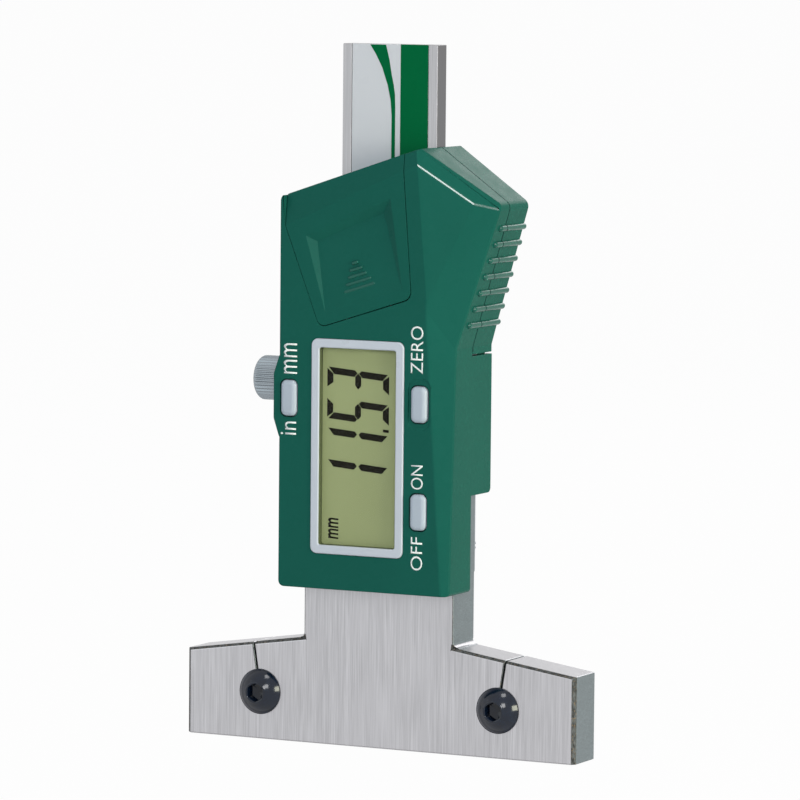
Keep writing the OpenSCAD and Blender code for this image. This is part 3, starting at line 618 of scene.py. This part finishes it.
def islands(node):
    """Centres of a node's separate solids, in millimetres."""
    work = bmesh.new()
    work.from_mesh(nodes[node].data)
    weld(work)
    left, centres = set(work.verts), []
    while left:
        stack, group = [left.pop()], []
        while stack:
            vert = stack.pop()
            group.append(vert.co / MM)
            near = {edge.other_vert(vert) for edge in vert.link_edges} & left
            left -= near
            stack += near
        low = Vector([min(c[i] for c in group) for i in range(3)])
        high = Vector([max(c[i] for c in group) for i in range(3)])
        centres.append((low + high) / 2)
    work.free()
    return sorted(centres, key=lambda c: (c.x, c.z))


REAR_SCREWS = [(c.x, c.z) for c in islands("rear_casing_screws")]


def is_rib(face):
    """Faces that stand out from the slanting wall with the thumb ribs."""
    centre = face.center / MM
    return 64 < centre.z < 81 and 0.962 * centre.x - 0.272 * centre.z > -3.47


def is_ridge(face):
    """The rounding of the ridge between the upper facets."""
    normal = face.normal
    return 0.05 < normal.z < 0.335 and 0.36 < normal.x < 0.52 and normal.y < -0.7


def is_shaded_groove(face):
    """The broken edges at the parting line and round the buttons, which lie in shadow; their dark
    colour is painted shade.
    """
    centre, slant = face.center / MM, abs(face.normal.y)
    at_button = centre.y < FACE_Y + 0.4 and within(
        centre, UNIT_REGION, ZERO_REGION, POWER_REGION
    )
    at_parting = -0.13 < centre.y < 0.21
    return 0.15 < slant < 0.87 and (at_button or at_parting)


def is_arrow(face):
    """The small faces of the ridges that make the cover's arrow."""
    small = face.area < 0.5 * MM**2
    return small and within(face.center / MM, ARROW_REGION) and face.normal.y < 0


front = soften("front_casing", "casing_front", CASING_ROUND, front_weight)
finish_piece(front, "frame", [CASING, CASING_RIB, CASING_RIDGE, CASING_GROOVE_SHADE],
             ["front_casing"])
paint_faces(front, 1, is_rib)
paint_faces(front, 2, is_ridge)
paint_faces(front, 3, is_shaded_groove)

rear = soften("rear_casing", "casing_rear", CASING_ROUND, rear_weight)
finish_piece(rear, "frame", [CASING, CASING_RIB, CASING_GROOVE_SHADE],
             ["rear_casing"])
paint_faces(rear, 1, is_rib)
paint_faces(rear, 2, is_shaded_groove)

cover = soften("battery_cover", "cover_sliding", COVER_ROUND, cover_weight)
finish_piece(cover, "battery_cover", [CASING, CASING_RIB], ["battery_cover"])
paint_faces(cover, 1, is_arrow)

# ---------------------------------------------------------------- steel

EDGE_BREAK = 0.16  # broken edges of the ground steel
NECK_Z = 27  # above this the frame lies inside the casing


def frame_weight(edge):
    return 1.0 if edge.convex and edge.middle.z < NECK_Z else 0.0


def is_chamfer(face):
    """Slanting faces at the wings' front edges."""
    centre = face.center / MM
    slant = -0.95 < face.normal.y < -0.3
    at_wing = centre.z > 2 or abs(centre.x) > BASE_HIGH.x - 1
    return slant and at_wing and centre.y < BASE_LOW.y + 1


# Faces that look along X, which get the milled steel with painted side shade
def is_side(face):
    return abs(face.normal.x) > 0.9


base = soften("base_frame", "base_ground", EDGE_BREAK, frame_weight, 2)
finish_piece(base, "frame", [FRAME_STEEL, ROUGH_STEEL, MILLED_STEEL_SIDE_SHADE],
             ["base_frame"])
paint_faces(base, 1, is_chamfer)
paint_faces(base, 2, is_side)

for node, shade, width in (
    ("beam", BEAM_STEEL, 0.12),
    ("rear_plate", PLATE_STEEL, 0.05),
    ("back_screws", SCREW_STEEL, 0.08),
    ("rear_casing_screws", BLACK_OXIDE, 0.08),
    ("board_screws", SCREW_STEEL, 0.08),
    ("gib_strip", BRASS, 0.05),
    ("gib_screws", BLACK_OXIDE, 0.05),
    ("lock_pad", BRASS, 0.05),
):
    dress(node, shade, width)

# Knurled lock screw
KNURL_TEETH = 36
KNURL_DEPTH = 0.24
KNURL_PROFILE = (0.0, 0.12, 0.78, 1.0, 1.0, 0.78, 0.12, 0.0)  # over one tooth
KNOB_LENGTH = 6.7
KNOB_CRISP = 50  # turns above this stay crisp, in degrees
SHANK_R = 1.25


def knurled_screw():
    """Lock screw with a straight knurl, a rounded rim and a shallow dish in its end."""
    axis_y = (KNOB_LOW.y + KNOB_HIGH.y) / 2
    axis_z = (KNOB_LOW.z + KNOB_HIGH.z) / 2
    radius = (KNOB_HIGH.z - KNOB_LOW.z) / 2
    out, inner = KNOB_LOW.x, KNOB_LOW.x + KNOB_LENGTH
    # Each row is (x, radius, share of the knurl's depth)
    rows = [
        (out + 0.25, 0.0, 0.0), (out + 0.25, radius - 1.3, 0.0), (out + 0.05, radius - 1.05, 0.0),
        (out, radius - 0.85, 0.0), (out, radius - 0.62, 0.0), (out + 0.12, radius - 0.36, 0.0),
        (out + 0.34, radius - 0.14, 0.35), (out + 0.62, radius, 1.0),
        (inner - 0.4, radius, 1.0), (inner - 0.12, radius - 0.22, 0.2),
        (inner, radius - 0.45, 0.0), (inner, SHANK_R, 0.0), (KNOB_HIGH.x - 0.3, SHANK_R, 0.0),
        (KNOB_HIGH.x, SHANK_R - 0.3, 0.0), (KNOB_HIGH.x, 0.0, 0.0),
    ]
    steps = KNURL_TEETH * len(KNURL_PROFILE)
    rings = []
    for x, row_r, share in rows:
        ring = []
        for i in range(steps):
            angle = 2 * math.pi * i / steps
            cut = KNURL_DEPTH * share * (1 - KNURL_PROFILE[i % len(KNURL_PROFILE)])
            r = max(0.0, row_r - cut)
            ring.append((x, axis_y + r * math.cos(angle), axis_z + r * math.sin(angle)))
        rings.append(ring)
    return skin("lock_knob", rings, KNOB_CRISP)


finish_piece(knurled_screw(), "lock_screw", [KNOB_STEEL], ["lock_screw"])

# Domed socket screws in the base
HEX_ACROSS = 2.5
SOCKET_DEPTH = 1.55
LIP_R = 1.68  # where the dome ends at the socket
THREAD_R = 2.0
SCREW_STEPS = 96
SCREW_CRISP = 38


def hex_radius(angle):
    """Distance from the axis to the socket's wall."""
    sector = (angle + math.pi / 6) % (math.pi / 3) - math.pi / 6
    return HEX_ACROSS / 2 / math.cos(sector)


def socket_screw(node, name):
    low, high = box_mm(node)
    cx, cz = (low.x + high.x) / 2, (low.z + high.z) / 2
    head_r = (high.x - low.x) / 2
    seat = BASE_LOW.y
    rise = seat - low.y + 0.12
    dome_r = (head_r**2 + rise**2) / (2 * rise)

    def dome(r):
        return seat - rise + dome_r - math.sqrt(dome_r**2 - r**2)

    # Rows from the thread's end to the head's rim, over the dome and into the socket,
    # each as (y, radius, share of hexagon)
    rows = [(high.y, 0.0, 0.0), (high.y, THREAD_R - 0.3, 0.0), (high.y - 0.3, THREAD_R, 0.0),
            (seat, THREAD_R, 0.0), (seat, head_r - 0.08, 0.0), (seat - 0.12, head_r, 0.0)]
    rows += [(dome(r), r, 0.0) for r in (3.42, 3.3, 3.1, 2.8, 2.5, 2.2, 1.95, LIP_R + 0.06)]
    top = dome(LIP_R)
    rows += [(top - 0.07, LIP_R - 0.05, 0.0), (top - 0.09, LIP_R - 0.14, 0.1),
             (top - 0.02, LIP_R - 0.24, 0.6), (top + 0.14, 0.0, 1.0),
             (top + SOCKET_DEPTH, 0.0, 1.0), (top + SOCKET_DEPTH + 0.5, 0.0, 0.0)]
    rings = []
    for y, row_r, share in rows:
        ring = []
        for i in range(SCREW_STEPS):
            angle = 2 * math.pi * i / SCREW_STEPS
            r = row_r + (hex_radius(angle) - row_r) * share
            ring.append((cx + r * math.cos(angle), y, cz + r * math.sin(angle)))
        rings.append(ring)
    finish_piece(skin(name, rings, SCREW_CRISP), "frame", [BLACK_OXIDE], [node])


socket_screw("base_screw_left", "base_screw_dressed_left")
socket_screw("base_screw_right", "base_screw_dressed_right")

# ---------------------------------------------------------------- label

dress("scale_strip", LAMINATE)
dress("beam_label", LABEL_WHITE)

FILM = 0.02  # thickness of the printed colour
STRIPE_LEFT, STRIPE_RIGHT = 1.76, 6.40  # broad green stripe, from the centreline
STRIPE_LOW, STRIPE_HIGH = LABEL_LOW.z + 0.3, LABEL_HIGH.z - 0.02
STRIPE = [(STRIPE_LEFT, STRIPE_LOW), (STRIPE_RIGHT, STRIPE_LOW),
          (STRIPE_RIGHT, STRIPE_HIGH), (STRIPE_LEFT, STRIPE_HIGH)]
# Narrow stripe that sweeps to the left at its top: up its left edge, down its right
SWEEP = [(0.3, 12.4), (0.3, 96.0), (0.12, 98.2), (-0.42, 100.6), (-1.35, 103.2),
         (-2.45, 105.2), (-3.4, 106.6),
         (-0.73, 106.6), (-0.1, 104.2), (0.26, 102.1), (0.62, 100.6), (0.84, 99.1),
         (0.9, 97.4), (0.9, 12.4)]

for name, outline in (("label_stripe", STRIPE), ("label_sweep", SWEEP)):
    film = plate(name, [outline], LABEL_LOW.y - FILM, LABEL_LOW.y)
    finish_piece(film, "beam", [LABEL_GREEN])

# ---------------------------------------------------------------- display

BEZEL_ROUND = 0.22


def bezel_weight(edge):
    return 1.0 if edge.convex and edge.middle.y < FACE_Y + 0.5 else 0.0


def is_bezel_wall(face):
    """Faces that look at the middle of the display, below the rounded rim; they get a painted
    reflection of the display and painted shade.
    """
    centre = face.center / MM
    inwards = Vector((GLASS_MID.x - centre.x, 0, GLASS_MID.z - centre.z))
    return centre.y > FACE_Y + 0.05 and face.normal.dot(inwards) > 0.9 * abs(inwards.x)


bezel = soften("display_bezel", "bezel_frame", BEZEL_ROUND, bezel_weight)
finish_piece(bezel, "frame", [BEZEL, BEZEL_WALL_REFLECTION_SHADE], ["display_bezel"])
paint_faces(bezel, 1, is_bezel_wall)
dress("display_window", WINDOW, 0.05)
dress("display_glass", DISPLAY)
dress("display_carrier", CARRIER)
dress("contact_strips", RUBBER)

DIGIT_W, DIGIT_H, STROKE = 3.25, 10.45, 1.02
SEGMENT_GAP = 0.12
DIGIT_SLANT = 0.085
DIGIT_TOP_X = -7.17  # the digits' upper ends, on the left as the part stands
DIGITS = (("3", 58.15), ("5", 53.58), ("1", 48.92), ("1", 44.12))  # each with its place
SEGMENTS = {"1": "bc", "3": "abgcd", "5": "afgcd"}
DECIMAL_COMMA = [(2.3, 48.62), (3.28, 48.56), (3.28, 48.98), (2.3, 49.04)]
INK_Y = GLASS_LOW.y
INK_FILM = 0.012


def segment(letter):
    """Outline of one segment, with u along the reading direction and v upwards."""
    w, h, t, g = DIGIT_W, DIGIT_H, STROKE, SEGMENT_GAP
    half = h / 2
    if letter in "ad":
        points = [(0.22, h), (w - 0.22, h), (w - t * 0.95, h - t), (t * 0.95, h - t)]
        return points if letter == "a" else [(u, h - v) for u, v in points]
    if letter == "g":
        d = t / 2
        return [(0.42, half), (t * 0.95, half + d), (w - t * 0.95, half + d), (w - 0.42, half),
                (w - t * 0.95, half - d), (t * 0.95, half - d)]
    points = [(w, h - g - 0.1), (w, half + t * 0.42 + g), (w - t * 0.42, half + g),
              (w - t, half + t * 0.5 + g), (w - t, h - t - g)]
    if letter == "c":
        points = [(u, h - v) for u, v in points]
    if letter == "f":
        points = [(w - u, v) for u, v in points]
    return points


def on_display(u, v, top_z):
    """X and Z of a point of a digit, which reads upwards as the part stands."""
    fall = DIGIT_H - v
    return (DIGIT_TOP_X + fall, top_z + u - DIGIT_W - fall * DIGIT_SLANT)


outlines = [
    [on_display(u, v, top_z) for u, v in segment(letter)]
    for digit, top_z in DIGITS for letter in SEGMENTS[digit]
]
digits = plate("display_digits", [*outlines, DECIMAL_COMMA], INK_Y - INK_FILM, INK_Y)
finish_piece(digits, "frame", [INK])

# ---------------------------------------------------------------- prints

PRINT_FILM = 0.03  # thickness of the printed letters
PRINT_Y = FACE_Y - 0.02
PRINTS = (  # name, words, X range, Z range
    ("print_mm", "mm", (-14.1, -11.84), (56.84, 61.44)),
    ("print_in", "in", (-14.57, -11.94), (47.57, 49.57)),
    ("print_zero", "ZERO", (7.35, 9.42), (57.81, 64.91)),
    ("print_on", "ON", (7.56, 9.55), (40.4, 44.05)),
    ("print_off", "OFF", (7.62, 9.57), (28.2, 33.21)),
)


def upright_print(name, words, x_range, z_range, y, shade, weight, shear=0.0):
    """Text that reads upwards on a front face, fitted into a box."""
    curve = bpy.data.curves.new(name, "FONT")
    curve.body = words
    curve.offset = weight
    curve.resolution_u = 4
    curve.shear = shear
    source = show(name + "_curve", curve)
    bpy.context.view_layer.update()
    view = bpy.context.evaluated_depsgraph_get()
    mesh = bpy.data.meshes.new_from_object(source.evaluated_get(view))
    bpy.data.objects.remove(source)
    bpy.data.curves.remove(curve)
    xs = [v.co.x for v in mesh.vertices]
    ys = [v.co.y for v in mesh.vertices]
    along = (z_range[1] - z_range[0]) / (max(xs) - min(xs))
    across = (x_range[1] - x_range[0]) / (max(ys) - min(ys))
    for v in mesh.vertices:
        v.co = Vector((x_range[1] - (v.co.y - min(ys)) * across, y,
                       z_range[0] + (v.co.x - min(xs)) * along)) * MM
    obj = show(name, mesh)
    work = bmesh.new()
    work.from_mesh(mesh)
    weld(work, 1e-7)
    if sum(face.normal.y * face.calc_area() for face in work.faces) > 0:
        bmesh.ops.reverse_faces(work, faces=work.faces)
    work.to_mesh(mesh)
    work.free()
    film = obj.modifiers.new("film", "SOLIDIFY")
    film.thickness = PRINT_FILM * MM
    film.offset = -1
    finish_piece(obj, "frame", [shade])


for name, words, x_range, z_range in PRINTS:
    upright_print(name, words, x_range, z_range, PRINT_Y, PRINT_WHITE, -0.004)
upright_print("display_unit", "mm", (-6.86, -5.12), (32.03, 35.22), INK_Y - INK_FILM, INK,
              0.02, 0.1)

# ---------------------------------------------------------------- buttons and inside

for node in ("unit_button", "zero_button", "power_button"):
    dress(node, BUTTON, 0.75, 8)
dress("coin_cell", CELL_STEEL, 0.15)
dress("battery_contact_plus", CONTACT, 0.05)
dress("battery_contact_minus", CONTACT, 0.05)
dress("circuit_board", BOARD)
dress("measuring_chip", CHIP, 0.12)
dress("dome_switches", CONTACT, 0.2)

# ---------------------------------------------------------------- studio

# Camera at the photograph's viewing angle
CAMERA_AZIMUTH, CAMERA_ELEVATION, CAMERA_ROLL = 26.688, 5.092, 0.517
CAMERA_TARGET = Vector((3.356, -3.5, 53.282))
CAMERA_DISTANCE = 814.78
FOCAL_PIXELS, FRAME_PIXELS, SENSOR = 5408.53, 800, 36.0

WHITE = (1.0, 1.0, 1.0)
LAMP_TARGET = Vector((0, 0, 0.05))
LAMPS = (  # name, azimuth, elevation, distance, width and height in metres, watts, colour
    ("key_right", 78, 6, 0.75, 0.35, 0.25, 3.7, (1.0, 1.0, 0.8)),
    ("front", 27, 20, 0.7, 0.2, 0.2, 1.3, WHITE),
    ("front_left", -45, 10, 0.9, 0.7, 0.7, 0.9, (0.86, 0.97, 1.0)),
    ("overhead", 30, 67, 0.7, 0.2, 0.2, 0.9, WHITE),
    ("behind", 178, 22, 0.8, 0.4, 0.2, 0.8, WHITE),
)
SKY_COLOR, SKY_STRENGTH = (0.9, 0.95, 1.0), 0.3
FLOOR_SIZE = 12.0
FLOOR_TONE = 0.8
FLOOR_GLOW = 0.97  # share of plain white in the floor that is seen directly
FLOOR_Z = -15.1 * MM  # the beam slides 15 mm out of the base, so the floor lies below its end


def direction(azimuth, elevation):
    """Unit vector from the part. Azimuth 0 is the front, 90 the right side."""
    az, el = math.radians(azimuth), math.radians(elevation)
    return Vector((math.sin(az) * math.cos(el), -math.cos(az) * math.cos(el), math.sin(el)))


def add_camera():
    az, roll = math.radians(CAMERA_AZIMUTH), math.radians(CAMERA_ROLL)
    back = direction(CAMERA_AZIMUTH, CAMERA_ELEVATION)
    right = Vector((math.cos(az), math.sin(az), 0))
    up = back.cross(right)
    tilted_right = right * math.cos(roll) + up * math.sin(roll)
    tilted_up = -right * math.sin(roll) + up * math.cos(roll)
    data = bpy.data.cameras.new("photo_camera")
    data.sensor_fit = "HORIZONTAL"
    data.sensor_width = SENSOR
    data.lens = FOCAL_PIXELS * SENSOR / FRAME_PIXELS
    data.clip_start, data.clip_end = 0.01, 100
    camera = show("photo_camera", data)
    turn = Matrix((tilted_right, tilted_up, back)).transposed().to_4x4()
    place = (CAMERA_TARGET + back * CAMERA_DISTANCE) * MM
    camera.matrix_world = Matrix.Translation(place) @ turn
    scene.camera = camera


def add_softbox(name, azimuth, elevation, distance, width, height, power, color):
    """Area light that looks at the part."""
    toward = direction(azimuth, elevation)
    data = bpy.data.lights.new(name, "AREA")
    data.shape = "RECTANGLE"
    data.size, data.size_y = width, height
    data.energy = power
    data.color = color
    light = show(name, data)
    light.location = LAMP_TARGET + toward * distance
    light.rotation_euler = toward.to_track_quat("Z", "Y").to_euler()


def seen_directly(tree):
    """1 for camera, glossy and transmission rays, which see the white backdrop."""
    path = tree.nodes.new("ShaderNodeLightPath")
    total = path.outputs["Is Camera Ray"]
    for kind in ("Is Glossy Ray", "Is Transmission Ray"):
        total = calculate(tree, "MAXIMUM", total, path.outputs[kind])
    return total


def blend_surface(tree, output, factor, first, second):
    """Feeds the surface of the output from two shaders."""
    blend = tree.nodes.new("ShaderNodeMixShader")
    tree.links.new(factor, blend.inputs["Fac"])
    tree.links.new(first.outputs[0], blend.inputs[1])
    tree.links.new(second.outputs[0], blend.inputs[2])
    tree.links.new(blend.outputs[0], tree.nodes[output].inputs["Surface"])


def add_world():
    world = bpy.data.worlds.new("studio")
    world.use_nodes = True
    tree = world.node_tree
    soft = tree.nodes["Background"]
    soft.inputs["Color"].default_value = (*SKY_COLOR, 1.0)
    soft.inputs["Strength"].default_value = SKY_STRENGTH
    white = tree.nodes.new("ShaderNodeBackground")
    white.inputs["Color"].default_value = (*WHITE, 1.0)
    white.inputs["Strength"].default_value = 1.0
    blend_surface(tree, "World Output", seen_directly(tree), soft, white)
    scene.world = world


def add_floor():
    """Plain pale floor that shows the object's shadow faintly."""
    s = FLOOR_SIZE
    mesh = bpy.data.meshes.new("floor")
    mesh.from_pydata([(-s, -s, 0), (s, -s, 0), (s, s, 0), (-s, s, 0)], [], [(0, 1, 2, 3)])
    floor = show("floor", mesh)
    floor.location.z = FLOOR_Z
    material = bpy.data.materials.new("floor_pale")
    material.use_nodes = True
    tree = material.node_tree
    paper = tree.nodes["Principled BSDF"]
    paper.inputs["Base Color"].default_value = (FLOOR_TONE, FLOOR_TONE, FLOOR_TONE, 1.0)
    paper.inputs["Roughness"].default_value = 1.0
    paper.inputs["Specular IOR Level"].default_value = 0.0
    glow = tree.nodes.new("ShaderNodeEmission")
    glow.inputs["Color"].default_value = (*WHITE, 1.0)
    share = calculate(tree, "MULTIPLY", seen_directly(tree), FLOOR_GLOW)
    blend_surface(tree, "Material Output", share, paper, glow)
    mesh.materials.append(material)


add_camera()
add_world()
add_floor()
for lamp in LAMPS:
    add_softbox(*lamp)

scene.view_settings.view_transform = "Standard"
